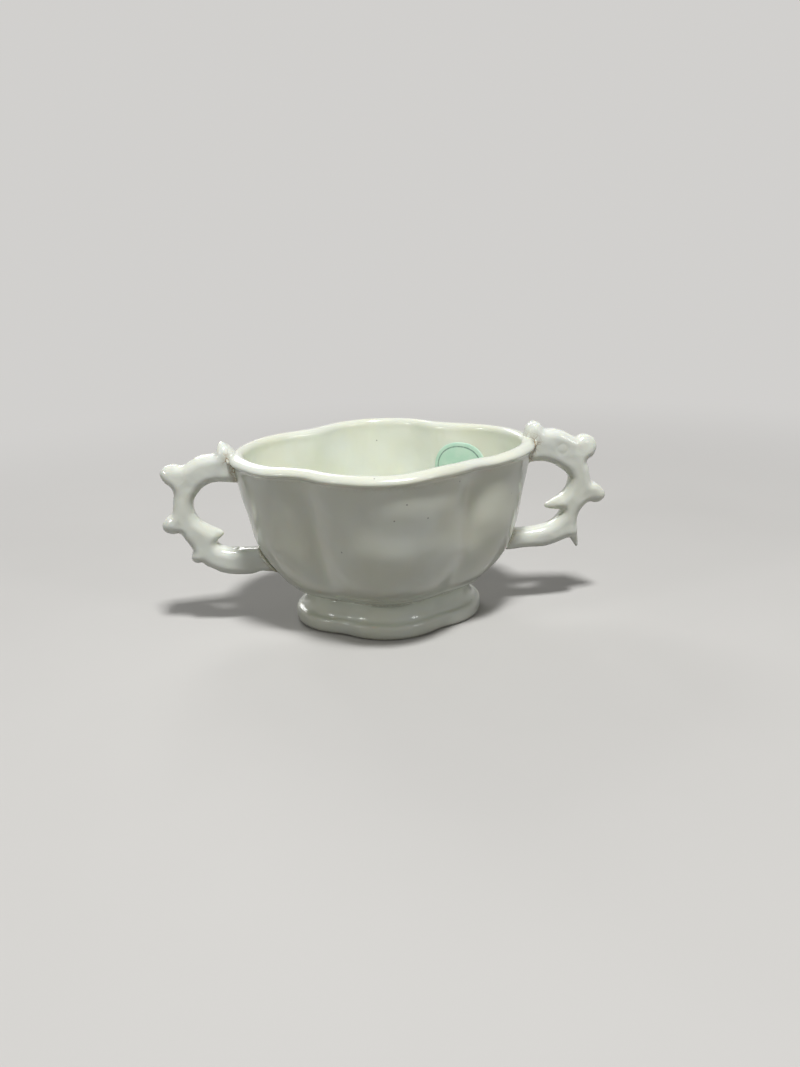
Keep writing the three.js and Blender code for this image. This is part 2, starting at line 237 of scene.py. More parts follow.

# %% [markdown]
# ## The glaze
# Porcelain is a white, faintly translucent body under clear glass. A flat white with a shiny coat would
# look like plastic, so the colour drifts between ivory and a cooler white, the gloss is uneven, light sinks
# a little way in, and the surface carries soft lumps, fine ripples, iron specks and pinholes. Three layers
# painted on the points say where the glaze pooled, where dirt left stains together with a painted shade
# under the bowl's lip, and where the clay is bare.

# %% Mix the porcelain
IVORY = (0.81, 0.83, 0.70, 1)
COOL_WHITE = (0.82, 0.855, 0.775, 1)
WHITE_CLAY = (0.845, 0.87, 0.775, 1)  # the handles' clay is a little whiter than the bowl's
COOL_CLAY = (0.85, 0.885, 0.82, 1)
POOLED = (0.65, 0.70, 0.58, 1)
# brown for dirt and old stains, and also for the painted shade under the bowl's lip
DIRT_AND_SHADE = (0.33, 0.19, 0.05, 1)
BARE_CLAY = (0.70, 0.64, 0.54, 1)
IRON = (0.06, 0.045, 0.035, 1)
SINK = (1.0, 0.85, 0.6)  # how far red, green and blue light sink in, against each other
SINK_DEPTH = 1.6 * MM


def iron_specks(tree, spacing, radius, share):
    """Sparse dark dots: the middles of some cells of a Voronoi texture."""
    place = add_node(tree, "ShaderNodeTexCoord").outputs["Object"]
    cells = add_node(tree, "ShaderNodeTexVoronoi", {"Vector": place, "Scale": 1 / (spacing * MM)})
    dot = ramp(tree, cells.outputs["Distance"], 0.4 * radius / spacing, radius / spacing, 1.0, 0.0)
    chance = add_node(tree, "ShaderNodeSeparateColor", {"Color": cells.outputs["Color"]}).outputs["Red"]
    chosen = ramp(tree, chance, 1 - share, 1 - share + 0.01)
    return calculate(tree, "MULTIPLY", dot, chosen)


def crackle(tree, spacing, width):
    """Fine cracks: the edges of the cells of a Voronoi texture."""
    place = add_node(tree, "ShaderNodeTexCoord").outputs["Object"]
    inputs = {"Vector": place, "Scale": 1 / (spacing * MM)}
    cells = add_node(tree, "ShaderNodeTexVoronoi", inputs, feature="DISTANCE_TO_EDGE")
    return ramp(tree, cells.outputs["Distance"], 0, width / spacing, 1.0, 0.0)


def pinholes(tree, places, radius):
    """Pits at chosen places on the piece."""
    here = add_node(tree, "ShaderNodeTexCoord").outputs["Object"]
    deepest = None
    for place in places:
        inputs = {0: here, 1: Vector(place) * MM}
        away = add_node(tree, "ShaderNodeVectorMath", inputs, operation="DISTANCE")
        pit = ramp(tree, away.outputs["Value"], 0.3 * radius * MM, radius * MM, 1.0, 0.0)
        deepest = pit if deepest is None else calculate(tree, "MAXIMUM", deepest, pit)
    return deepest


print("Glaze colours ready")

# %% Colour the glaze
COLOUR_PATCHES = 24  # millimetres across
SMUDGES = 1.6
CRACKS = {"spacing": 1.9, "width": 0.16}
SPECKS = {"spacing": 9, "radius": 0.22, "share": 0.12}
SPECK_DARKNESS = 0.6


def glaze_colour(tree, body, pits, pit_radius):
    """The glaze's colour, its dark specks, and its stains, which on the bowl include a painted shade under
    the lip.
    """
    colour = mix_colours(tree, ramp(tree, grain(tree, COLOUR_PATCHES), 0.35, 0.68), *body)
    colour = mix_colours(tree, painted(tree, "pooled"), colour, POOLED)
    colour = mix_colours(tree, painted(tree, "bare"), colour, BARE_CLAY)
    smudge = ramp(tree, grain(tree, SMUDGES, 5), 0.36, 0.68, 0.06, 0.5)
    blotches_and_cracks = calculate(tree, "MAXIMUM", smudge, crackle(tree, **CRACKS))
    # the stain layer holds dirt, and on the bowl also a painted shade under the lip
    stain_and_shade = calculate(tree, "MULTIPLY", painted(tree, "stains_and_painted_shade"), blotches_and_cracks)
    colour = mix_colours(tree, stain_and_shade, colour, DIRT_AND_SHADE)
    specks = iron_specks(tree, **SPECKS)
    if pits:
        specks = calculate(tree, "MAXIMUM", specks, pinholes(tree, pits, pit_radius))
    colour = mix_colours(tree, calculate(tree, "MULTIPLY", specks, SPECK_DARKNESS), colour, IRON)
    return colour, specks, stain_and_shade


print("Cracks and specks, mm apart:", CRACKS["spacing"], SPECKS["spacing"])

# %% Build the glaze as a node graph
PIT_RADIUS = 0.32
GLOSS_PATCHES = 5
SHINIEST, DULLEST = 0.10, 0.22  # roughness of the clear glaze
BARE_ROUGHNESS = 0.8
STAIN_ROUGHNESS = 0.55
SOFT_LUMPS = (11, 0.55)  # size in millimetres, and height against the others
FINE_RIPPLES = (2.2, 0.035)
PIT_DEPTH = 0.15


def glaze(name, pits=(), pit_radius=PIT_RADIUS, body=(IVORY, COOL_WHITE)):
    material, tree, shader = new_material(name)
    colour, specks, stain_and_shade = glaze_colour(tree, body, pits, pit_radius)
    tree.links.new(colour, shader.inputs["Base Color"])

    gloss = ramp(tree, grain(tree, GLOSS_PATCHES, 4), 0.3, 0.75, SHINIEST, DULLEST)
    bare = calculate(tree, "MULTIPLY", painted(tree, "bare"), BARE_ROUGHNESS)
    rough = calculate(tree, "MAXIMUM", gloss, bare)
    rough = calculate(tree, "MAXIMUM", rough, calculate(tree, "MULTIPLY", stain_and_shade, STAIN_ROUGHNESS))
    tree.links.new(rough, shader.inputs["Roughness"])

    lumps = calculate(tree, "MULTIPLY", grain(tree, SOFT_LUMPS[0], 2), SOFT_LUMPS[1])
    ripples = calculate(tree, "MULTIPLY", grain(tree, FINE_RIPPLES[0], 3), FINE_RIPPLES[1])
    height = calculate(tree, "ADD", lumps, ripples)
    height = calculate(tree, "SUBTRACT", height, calculate(tree, "MULTIPLY", specks, PIT_DEPTH))
    bump = add_node(tree, "ShaderNodeBump", {"Strength": 0.35, "Distance": 1.0 * MM, "Height": height})
    tree.links.new(bump.outputs["Normal"], shader.inputs["Normal"])

    shader.inputs["Subsurface Weight"].default_value = 0.25
    shader.inputs["Subsurface Radius"].default_value = SINK
    shader.inputs["Subsurface Scale"].default_value = SINK_DEPTH
    shader.inputs["IOR"].default_value = 1.5
    shader.inputs["Coat Weight"].default_value = 0.35
    shader.inputs["Coat Roughness"].default_value = 0.04
    return material


print("Glaze ready")

# %% [markdown]
# ## The four-lobed outline
# Bowl, neck and foot share one plan: four round lobes that melt together, two at the ends and two at the
# sides. A Bezier circle could be pulled into this shape by hand. Here each lobe is a circle, a ray from the
# middle finds how far each one reaches, and a soft maximum joins them, so any level of the cup can be drawn
# alike. The notches between the lobes are crisp at the foot and soft at the rim.

# %% Draw one level of the cup
CRISP_NOTCH = 24  # the soft maximum's power: a higher one makes a sharper notch
SOFT_NOTCH = 9
AROUND = 360
angles = np.linspace(0, 2 * np.pi, AROUND, endpoint=False)


def lobe_reach(half, lobe, turn):
    centre = half - lobe
    inside = lobe ** 2 - (centre * np.sin(turn)) ** 2
    reach = centre * np.cos(turn) + np.sqrt(np.maximum(inside, 0))
    return np.where((inside < 0) | (np.cos(turn) < 0), 0, reach)


def lobed_radius(plan, angle, notch):
    """Radius of a plan (length, width, end lobe, side lobe) at an angle from +X."""
    length, width, end, side = plan
    lobes = [(length / 2, end), (width / 2, side)] * 2
    total = 0
    for quarter, (half, lobe) in enumerate(lobes):
        total = total + lobe_reach(half, lobe, angle - quarter * np.pi / 2) ** notch
    return total ** (1 / notch)


def grow(plan, by):
    return np.asarray(plan) + np.array((2, 2, 1, 1)) * by


print("Points round each level:", AROUND)

# %% Join levels into a mesh
def level_points(plan, height, notch=CRISP_NOTCH):
    radius = lobed_radius(plan, angles, notch)
    return np.column_stack((radius * np.cos(angles), radius * np.sin(angles), np.full(AROUND, height)))


def skin_faces(levels, around, looped=False):
    """Quads between neighbouring levels, and from the last to the first if they loop."""
    pairs = [(k, k + 1) for k in range(levels - 1)] + ([(levels - 1, 0)] if looped else [])
    faces = []
    for low, high in pairs:
        for i in range(around):
            j = (i + 1) % around
            faces.append((low * around + i, low * around + j, high * around + j, high * around + i))
    return faces


def make_piece(name, points, faces):
    mesh = bpy.data.meshes.new(name)
    mesh.from_pydata((np.asarray(points) * MM).tolist(), [], faces)
    mesh.shade_smooth()
    piece = bpy.data.objects.new(name, mesh)
    scene.collection.objects.link(piece)
    return piece


def paint(piece, layer, values):
    attribute = piece.data.attributes.new(layer, "FLOAT", "POINT")
    attribute.data.foreach_set("value", np.clip(values, 0, 1).astype(np.float32))


print("Mesh helpers ready")

# %% Read the main sizes from the frame
rim_length, rim_width, bowl_height = size_of("bowl")
foot_length, foot_width, _ = size_of("foot_ring")
neck_length, neck_width, _ = size_of("foot_slip")
SEAM = 0.35  # what shows of the slip between foot and bowl
bowl_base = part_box("bowl")[0].z / MM
foot_height = bowl_base - SEAM
rim_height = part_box("bowl")[1].z / MM

RIM_LOBES = (26.5, 25.2)  # radius of the end lobes and of the side lobes
NECK_LOBES = (15.6, 16.6)
FOOT_LOBES = (17.6, 18.2)
rim_plan = np.array((rim_length, rim_width, *RIM_LOBES))
neck_plan = np.array((neck_length, neck_width, *NECK_LOBES))
foot_plan = np.array((foot_length, foot_width, *FOOT_LOBES))
print("Rim, mm:", round(rim_length, 1), "x", round(rim_width, 1), "at", round(rim_height, 1))

# %% [markdown]
# ## The bowl
# The bowl was pressed in a mould, so its wall is even, with a sloping, rounded lip and soft uneven places
# from the hand. A Screw or Spin would only make round bowls. This one is a profile, rows of a half-length,
# a height and an inset, and each row becomes one lobed level. Smoothing the profile rounds its corners
# before any mesh is made.

# %% Write down the wall
WALL = 3.0
FLOOR_THICKNESS = 4.0
LIP_OVERHANG = 1.6
LIP_HEIGHT = 3.2
LIP_SLOPE = (3.1, 2.2)  # how far the lip runs outwards from its crest, and how far down
LIP_INSIDE = 1.6  # how far its rounded inside runs down
LIP_UNDER = 0.8  # and its underside, below the outer edge
BELLY = (40.2, 17.6)  # half-length, and rise above the bowl's underside
WALL_TURN = (33.3, 5.4)
FLOOR_EDGE = 26.5  # half-length of the flat floor inside
FLOOR_CURVE = 8.0  # height of the curve between floor and wall
under_lip = grow(rim_plan, -LIP_OVERHANG)
lip_foot = rim_height - LIP_HEIGHT


def spline(points, steps):
    """A smooth curve through points, with a number of steps between each two."""
    points = np.asarray(points, float)
    padded = np.vstack((points[:1], points, points[-1:]))
    curve = []
    for before, start, stop, after in zip(padded, padded[1:], padded[2:], padded[3:]):
        t = np.linspace(0, 1, steps, endpoint=False)[:, None]
        leave, arrive = (stop - before) / 2, (after - start) / 2
        bend = (2 * start - 2 * stop + leave + arrive) * t ** 3
        curve.append(bend + (3 * stop - 3 * start - 2 * leave - arrive) * t ** 2 + leave * t + start)
    return np.vstack(curve + [points[-1:]])


outside = spline([(neck_length / 2, bowl_base), (WALL_TURN[0], bowl_base + WALL_TURN[1]),
                  (BELLY[0], bowl_base + BELLY[1]), (under_lip[0] / 2, lip_foot)], 30)
print("Rows up the wall:", len(outside))

# %% Trace the bowl's whole profile
def half_length_at(height):
    return np.interp(height, outside[:, 1], outside[:, 0])


def bowl_plan(half_length, inset):
    """The plan of the wall where it has a half-length, moved in or out by an inset."""
    share = (2 * half_length - neck_length) / (under_lip[0] - neck_length)
    return grow(neck_plan + (under_lip - neck_plan) * share, inset)


slope_out, slope_down = LIP_SLOPE
crest = LIP_OVERHANG - slope_out
floor_top = bowl_base + FLOOR_THICKNESS
side_foot = floor_top + FLOOR_CURVE
rows = [(x, z, 0.0) for x, z in outside]
for turn in np.radians(np.arange(-50, 181, 10)):
    reach = slope_out if math.cos(turn) > 0 else WALL + crest
    drop = LIP_INSIDE if math.cos(turn) <= 0 else slope_down
    rise = LIP_UNDER if turn < 0 else drop
    z = rim_height - drop + rise * math.sin(turn)
    rows.append((under_lip[0] / 2, z, crest + reach * math.cos(turn)))
for z in np.linspace(lip_foot, side_foot, 60):
    rows.append((half_length_at(z), z, -WALL))
corner = half_length_at(floor_top + FLOOR_CURVE / 3)
for t in np.linspace(0, 1, 24)[1:]:
    half = (1 - t) ** 2 * half_length_at(side_foot) + 2 * t * (1 - t) * corner + t ** 2 * FLOOR_EDGE
    z = (1 - t) ** 2 * side_foot + 2 * t * (1 - t) * floor_top + t ** 2 * floor_top
    rows.append((half, z, -WALL))
profile = np.array(rows)
print("Rows in the profile:", len(profile))

# %% Round the profile's corners
ROW_SPACING = 0.5
BASE_ROLL = 1.0  # a low roll round the bowl's underside
ROLL_HEIGHT = 1.6
ROLL_SPREAD = 1.0


def resample(rows, spacing):
    """Rows at an even spacing along the profile."""
    steps = np.hypot(np.diff(rows[:, 0] + rows[:, 2]), np.diff(rows[:, 1]))
    along = np.concatenate(([0], np.cumsum(steps)))
    even = np.linspace(0, along[-1], int(along[-1] / spacing))
    return np.column_stack([np.interp(even, along, column) for column in rows.T])


def soften(rows, passes, looped=False):
    rows = np.array(rows, float)
    for _ in range(passes):
        mean = (np.roll(rows, 1, 0) + 2 * rows + np.roll(rows, -1, 0)) / 4
        if not looped:
            mean[[0, -1]] = rows[[0, -1]]
        rows = mean
    return rows


profile = soften(resample(profile, ROW_SPACING), 3)
is_outside = np.arange(len(profile)) < np.argmax(profile[:, 1])
roll = np.exp(-((profile[:, 1] - bowl_base - ROLL_HEIGHT) / ROLL_SPREAD) ** 2)
profile[:, 2] += BASE_ROLL * roll * is_outside
print("Rows after smoothing:", len(profile))

# %% Let the hand show
WANDER = 0.8  # how far the wall strays from a perfect form
WANDER_SIZE = 19.0
LUMPS = 0.36  # and how far in smaller lumps
LUMP_SIZE = 9.0
FIRM_BASE = 8.0  # the wall strays fully from this far above its underside
LIP_WANDER = 0.3
LIP_WANDER_SIZE = 26.0
RIM_SPREAD = 0.03  # the sides opened a little as the clay dried
RIM_TILT = 0.45  # and the back of the lip stands a little higher than the front
FRONT_WAVES = ((-36, -0.5, 7), (12, 0.85, 7), (29, -0.5, 5))  # place along the front lip, lift, spread
FRONT_DEPTH = 20.0  # the waves are full from this far in front of the middle


def wander(points, size, seed=0.0):
    """Smooth random numbers, about -1 to 1, that drift over a size in millimetres."""
    shift = Vector((seed, seed, seed))
    return np.array([noise.noise(Vector(point) / size + shift) for point in points])


def hand_shape(points):
    """Points of the bowl, moved as a hand-finished wall strays."""
    points = np.array(points, float)
    radius = np.maximum(np.hypot(points[:, 0], points[:, 1]), 1)
    rise = np.clip((points[:, 2] - bowl_base) / FIRM_BASE, 0, 1)
    stray = WANDER * wander(points, WANDER_SIZE) + LUMPS * wander(points, LUMP_SIZE, 3.7)
    points[:, :2] *= (1 + rise * stray / radius)[:, None]
    climb = np.clip((points[:, 2] - bowl_base) / bowl_height, 0, 1)
    points[:, 1] *= 1 + RIM_SPREAD * climb
    points[:, 2] += RIM_TILT * climb ** 2 * points[:, 1] / (rim_width / 2)
    points[:, 2] += LIP_WANDER * climb ** 4 * wander(points, LIP_WANDER_SIZE, 7.5)
    front = np.clip(-points[:, 1] / FRONT_DEPTH, 0, 1)
    for place, lift, spread in FRONT_WAVES:
        points[:, 2] += lift * front * climb ** 4 * np.exp(-((points[:, 0] - place) / spread) ** 2)
    return points


print("Wall strays by up to", WANDER, "mm")

# %% Close a stack of levels
def closed_skin(levels):
    """Points and faces of a stack of levels, closed at both ends."""
    around = len(levels[0])
    middles = [level.mean(0, keepdims=True) for level in (levels[0], levels[-1])]
    points = np.vstack([*levels, *middles])
    faces = skin_faces(len(levels), around)
    first, last = len(points) - 2, len(points) - 1
    top = (len(levels) - 1) * around
    for i in range(around):
        j = (i + 1) % around
        faces += [(j, i, first), (top + i, top + j, last)]
    return points, faces


def drawn_in(level, share):
    """A level drawn in towards the cup's axis, at its own height."""
    return level * (share, share, 1)


print("Levels can be closed")

# %% Make the bowl
PLEAT_NOTCH = 28  # crisper still, for the pleats up the outside of the wall
FAINT_NOTCH = 15  # where the pleats are weakest, above the roll
PLEAT_TOP = 9.0  # the pleats fade out this far under the top of the lip
PLEAT_FOOT = 13.0  # and start this far above the bowl's underside
ROLL_TOP = 3.2


def bowl_notch(height, inset):
    if inset < -LIP_OVERHANG:
        return SOFT_NOTCH
    heights = (bowl_base, bowl_base + ROLL_TOP, bowl_base + PLEAT_FOOT, rim_height - PLEAT_TOP, rim_height)
    notches = (CRISP_NOTCH, FAINT_NOTCH, PLEAT_NOTCH, PLEAT_NOTCH, SOFT_NOTCH)
    return np.interp(height, heights, notches)


wall_levels = [level_points(bowl_plan(x, inset), z, bowl_notch(z, inset)) for x, z, inset in profile]
shrink = np.linspace(1, 0, 9)[1:-1]
underside = [drawn_in(wall_levels[0], share) for share in shrink[::-1]]
inner_floor = [drawn_in(wall_levels[-1], share) for share in shrink]
bowl_points, bowl_faces = closed_skin(underside + wall_levels + inner_floor)
bowl = make_piece("porcelain_bowl", hand_shape(bowl_points), bowl_faces)
print("Bowl faces:", len(bowl_faces))

# %% Measure how near the joints are
def distance_to(node, points):
    """Millimetres from each point to the skin of a measured node."""
    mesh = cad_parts[node].data
    corners = [vertex.co for vertex in mesh.vertices]
    tree = BVHTree.FromPolygons(corners, [face.vertices for face in mesh.polygons])
    return np.array([tree.find_nearest(Vector(point) * MM)[3] for point in points]) / MM


def near(node, points, spread):
    """1 on a measured node, falling to 0 within a spread in millimetres."""
    return np.exp(-(distance_to(node, points) / spread) ** 2)


print("Bowl points to paint:", len(bowl_points))

# %% Paint the bowl's layers
POOL_OUTSIDE = 2.2  # how far up from the base the glaze thickened, in millimetres
POOL_INSIDE = (0.75, 7)  # how much on the inner floor, and how far up from it
JOINT_DIRT = (0.8, 0.9)  # how strong, and how far it spreads
# a painted shade: a faint brown band painted just under the lip, its strength and spread
LIP_PAINTED_SHADE = (0.10, 1.1)
LIP_SHADE_DROP = 0.3  # its middle, below the foot of the lip

rows_of_points = np.concatenate((np.zeros(len(underside)), is_outside, np.zeros(len(inner_floor))))
outer = np.append(np.repeat(rows_of_points, AROUND), (0, 0))
heights = bowl_points[:, 2]
pool_outside = np.exp(-(heights - bowl_base) / POOL_OUTSIDE) * outer
pool_inside = POOL_INSIDE[0] * np.exp(-(heights - floor_top) / POOL_INSIDE[1]) * (1 - outer)
paint(bowl, "pooled", pool_outside + pool_inside)
dirt = sum(near(f"{side}_upper_slip", bowl_points, JOINT_DIRT[1]) for side in ("left", "right"))
# the painted shade under the lip goes into the same layer as the joints' dirt
painted_lip_shade = LIP_PAINTED_SHADE[0] * np.exp(-((heights - lip_foot + LIP_SHADE_DROP) / LIP_PAINTED_SHADE[1]) ** 2)
paint(bowl, "stains_and_painted_shade", (JOINT_DIRT[0] * dirt + painted_lip_shade) * outer)
print("Stained points:", int((dirt > 0.3).sum()))

# %% Glaze the bowl
PITS = [(-0.2, -38.6, 40.7), (9.0, -37.8, 40.4), (3.1, -38.8, 45.2), (-4.9, -39.4, 52.0),
        (0.5, 37.4, 46.5), (-30.0, 26.5, 53.2), (19.5, -32.4, 48.2), (-16.0, -33.2, 30.0)]
bpy.context.view_layer.update()
pits_on_wall = [bowl.closest_point_on_mesh(Vector(place) * MM)[1] / MM for place in PITS]
bowl.data.materials.append(glaze("bowl_glaze", pits_on_wall))
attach(bowl, "root")
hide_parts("bowl")
print("Pits:", len(PITS))

# %% [markdown]
# ## The foot
# The foot was made apart and stuck under the bowl. A Solidify modifier on a lobed tube would give it an
# even wall, but the real one is thick at the band and hollow above it. So it is a stack of lobed levels
# that closes on itself like a ring: across the flat that stands on the table, up the rounded band, in
# along a hollow curve to the neck, and back down inside. The flat is bare clay, wiped clean so that it
# wouldn't stick in the kiln.

# %% Trace the foot's section
BAND_HEIGHT = 4.6
BAND_EDGE = 1.3
FOOT_RING = 4.0
shoulder = grow(foot_plan, -BAND_EDGE)
recess = grow(shoulder, -FOOT_RING)
inner_neck = grow(neck_plan, -FOOT_RING)


def straight(start, stop, steps):
    """Levels from one (plan, height) to another."""
    start, stop = [np.append(plan, height) for plan, height in (start, stop)]
    return [start + (stop - start) * t for t in np.linspace(0, 1, steps, endpoint=False)]


quarter = np.radians(np.linspace(0, 90, 8))
edge = [(grow(foot_plan, BAND_EDGE * (math.sin(t) - 1)), BAND_EDGE * (1 - math.cos(t))) for t in quarter]
foot_rows = straight((recess, 0), (shoulder, 0), 9)
foot_rows += [np.append(plan, lift) for plan, lift in edge]
foot_rows += [np.append(plan, BAND_HEIGHT - lift) for plan, lift in edge[::-1]]
for t in np.radians(np.linspace(0, 90, 18)):
    plan = shoulder + (neck_plan - shoulder) * math.sin(t)
    foot_rows.append(np.append(plan, foot_height + (BAND_HEIGHT - foot_height) * math.cos(t)))
foot_rows += straight((neck_plan, foot_height), (inner_neck, foot_height), 8)
foot_rows += straight((inner_neck, foot_height), (recess, 0), 18)
foot_rows = soften(foot_rows, 3, looped=True)
print("Rows round the foot's section:", len(foot_rows))

# %% Make and glaze the foot
FOOT_DENTS = [(-16.5, -20.6, 5.2), (-6.0, -24.0, 3.6), (-14.6, -21.4, 3.8), (24.6, -8.0, 4.6)]
DENT_RADIUS = 0.35
FOOT_WANDER = 0.006  # how far it strays, as a share of its radius
FOOT_WANDER_SIZE = 17
BARE_TOP = 0.5  # the bare clay fades out at this height
BARE_FADE = 0.35
FOOT_POOL = 1.6
FOOT_DIRT = (0.35, 0.5)  # how strong, and how far above and below the bare clay's edge
foot_points = np.vstack([level_points(row[:4], row[4]) for row in foot_rows])
foot_points[:, :2] *= (1 + FOOT_WANDER * wander(foot_points, FOOT_WANDER_SIZE, 3.1))[:, None]
foot = make_piece("porcelain_foot", foot_points, skin_faces(len(foot_rows), AROUND, looped=True))
foot_heights = foot_points[:, 2]
paint(foot, "bare", np.clip((BARE_TOP - foot_heights) / BARE_FADE, 0, 1))
paint(foot, "pooled", np.exp(-(foot_height - foot_heights) / FOOT_POOL))
paint(foot, "stains_and_painted_shade", FOOT_DIRT[0] * np.exp(-((foot_heights - BARE_TOP) / FOOT_DIRT[1]) ** 2))
foot.data.materials.append(glaze("foot_glaze", FOOT_DENTS, DENT_RADIUS))
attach(foot, "root")
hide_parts("foot_ring")
print("Foot faces:", len(foot.data.polygons))

# %% [markdown]
# ## The slip under the bowl
# Foot and bowl are joined by slip, a clay paste. On the cup it shows as a faint line, nearly flush with
# the two edges. A groove cut into both would be too sharp and dark, so the slip is one more ring of
# levels, sunk into its neighbours so that no gap is left.

# %% Make the slip ring
SLIP_DEPTH = 0.08
SLIP_LAP = 0.6
SLIP_INSET = 0.45  # how far it stays back from the foot's inner edge
SLIP_POOL = 0.3
SLIP_STAIN = 0.3
slip_outer = grow(neck_plan, -SLIP_DEPTH)
slip_inner = grow(inner_neck, SLIP_INSET)
slip_low, slip_high = foot_height - SLIP_LAP, bowl_base + SLIP_LAP
slip_rows = straight((slip_outer, slip_low), (slip_outer, slip_high), 8)
slip_rows += straight((slip_outer, slip_high), (slip_inner, slip_high), 6)
slip_rows += straight((slip_inner, slip_high), (slip_inner, slip_low), 8)
slip_rows += straight((slip_inner, slip_low), (slip_outer, slip_low), 6)
slip_points = np.vstack([level_points(row[:4], row[4]) for row in soften(slip_rows, 1, looped=True)])
slip = make_piece("foot_slip_ring", slip_points, skin_faces(len(slip_rows), AROUND, looped=True))
paint(slip, "pooled", np.full(len(slip_points), SLIP_POOL))
paint(slip, "stains_and_painted_shade", np.full(len(slip_points), SLIP_STAIN))
slip_glaze = glaze("slip_glaze")
slip.data.materials.append(slip_glaze)
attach(slip, "root")
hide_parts("foot_slip")
print("Slip ring faces:", len(slip.data.polygons))

# %% [markdown]
# ## The handles
# Each handle is a bent clay strap with bits stuck on: a crest at the lip, a snout, a knob outside, a thorn
# inside and a spur below. Tapered tubes could be joined for them, but the bits flow into the strap like
# dough. So the side view is drawn as one outline and blown up like a cushion: the clay is rounded in from
# the edge and flat further in, and a thin bit is at most half as wide again as the largest ball that fits
# inside it. A voxel Remesh and a Smooth modifier melt the edges as glaze does, and the measured bits then
# say where the clay narrows and where a faint crease runs.

# %% Draw the side views
# Points are the distance from the cup's middle and the height, from the lip along the outside to the lower
# end and back along the inside. The first and last points are inside the wall.
OUTLINES = {
    "left": [
        (42.5, 52.4), (43.7, 53.8), (45.1, 55), (46.7, 56.2), (47.8, 55.9), (48.4, 54.6),
        (49.2, 53), (51.8, 52.7), (54.2, 52.3), (56.3, 51.2), (59.1, 49.9), (61.1, 50.4),
        (63.8, 50), (65.5, 48.1), (64.6, 45.6), (62.6, 43.6), (62.2, 41.6), (62.5, 39.5),
        (62.9, 37), (63.4, 35.6), (65.2, 34.4), (66.5, 32.6), (66.1, 30.6), (64, 29.5),
        (61.5, 29.6), (60.3, 27.6), (58.8, 25.2), (58.3, 23.6), (59, 22.4), (58.9, 20.8),
        (57.6, 20), (56, 20.2), (55, 19.2), (53, 18.1), (50.7, 16.7), (46.2, 15.7),
        (41.6, 15.5), (38.4, 16.3), (33, 16), (37, 23.4), (39.7, 23.3), (45.5, 23.5),
        (50, 24.5), (51.2, 26.2), (50, 27.4), (49, 28.4), (49.2, 29.2), (52.4, 30.8),
        (55.2, 32.7), (56.6, 34.7), (57, 36.7), (56.7, 39.2), (55.4, 41.5), (53.3, 43.6),
        (50.4, 44.8), (46, 44.6), (42, 43.8),
    ],
    "right": [
        (42.4, 52.6), (42.9, 54.2), (43.9, 56.4), (45.5, 57.4), (47.3, 56.7), (48.7, 55),
        (51.8, 54.9), (54.3, 54.1), (57.5, 52.4), (59, 51.9), (60.4, 52.6), (62, 52.5),
        (64, 51.4), (64.9, 49.1), (63.7, 46.2), (61.7, 44.9), (62.4, 42.5), (62.9, 40),
        (63.4, 38), (65, 37.3), (66.8, 35.8), (68, 33.8), (67.2, 32.1), (65.3, 31.3),
        (62.7, 31.6), (60.6, 30), (59.6, 28), (59.2, 25), (59.5, 21.5), (59.8, 17),
        (58.4, 19), (57, 20.6), (54.6, 20), (51.7, 18.9), (48.4, 18.3), (43.6, 18.4),
        (34.6, 18.4), (37.6, 24), (40.6, 23.9), (46.7, 24.3), (50, 25.1), (52.2, 26.3),
        (54, 28.2), (54.4, 29.7), (52.4, 29.9), (49.7, 30.4), (49.3, 31.1), (49.8, 31.8),
        (53.4, 33.8), (55.6, 35.7), (56.6, 38.4), (56.4, 40.3), (54.5, 42.4), (51.3, 44.5),
        (46.9, 45.5), (42, 45),
    ],
}
print("Points in the outlines:", [len(points) for points in OUTLINES.values()])

# %% Blow up an outline
GRID = 0.25
ROUNDED = 2.3  # how far in from its edge the clay is rounded
BALL_STRETCH = 1.5  # the most that a thin bit is wider than it is thick
WIDEST = 3.4  # half its width where it was pressed flat
EVEN_PASSES = 10  # how much the pressing evened out the flat sides
EDGE_ROUND = 1.2  # how far in from the edge it did
MELT_LOSS = 0.25  # what the melting takes off all round


def inside_depth(outline, places):
    """How far each place lies inside a closed outline: below 0 for one outside it."""
    nearest = np.full(len(places), np.inf)
    crossings = np.zeros(len(places), int)
    for start, stop in zip(outline, np.roll(outline, -1, 0)):
        along = stop - start
        share = np.clip(((places - start) @ along) / (along @ along), 0, 1)
        nearest = np.minimum(nearest, np.linalg.norm(places - start - share[:, None] * along, axis=1))
        spans = (start[1] > places[:, 1]) != (stop[1] > places[:, 1])
        slope = along[0] / along[1] if along[1] else 0.0
        crossings += spans & (places[:, 0] < start[0] + slope * (places[:, 1] - start[1]))
    return np.where(crossings % 2 == 1, nearest, -nearest)


def ball_heights(depth):
    """Height over each grid place of the highest ball that fits inside the outline."""
    reach = int(depth.max() / GRID) + 1
    padded = np.pad(np.maximum(depth, 0), reach)
    highest = np.zeros(depth.shape)
    for i in range(2 * reach + 1):
        for j in range(2 * reach + 1):
            away = GRID ** 2 * ((i - reach) ** 2 + (j - reach) ** 2)
            ball = padded[i:i + depth.shape[0], j:j + depth.shape[1]]
            highest = np.maximum(highest, ball ** 2 - away)
    return np.sqrt(highest)


print("Grid, mm:", GRID)

# %% Turn the heights into a closed shell
def spread_out(heights):
    return soften(soften(heights, EVEN_PASSES).T, EVEN_PASSES).T


def half_widths(depth):
    """Half the clay's width over each grid place, from how deep it lies inside the outline."""
    cushion = WIDEST * np.sqrt(1 - (1 - np.clip(depth / ROUNDED, 0, 1)) ** 2)
    wide = np.minimum(cushion, BALL_STRETCH * ball_heights(depth))
    within = depth > 0
    weight = spread_out(within.astype(float))
    pressed = spread_out(wide * within) / np.maximum(weight, 0.01)
    return wide + (pressed - wide) * np.clip(depth / EDGE_ROUND, 0, 1)


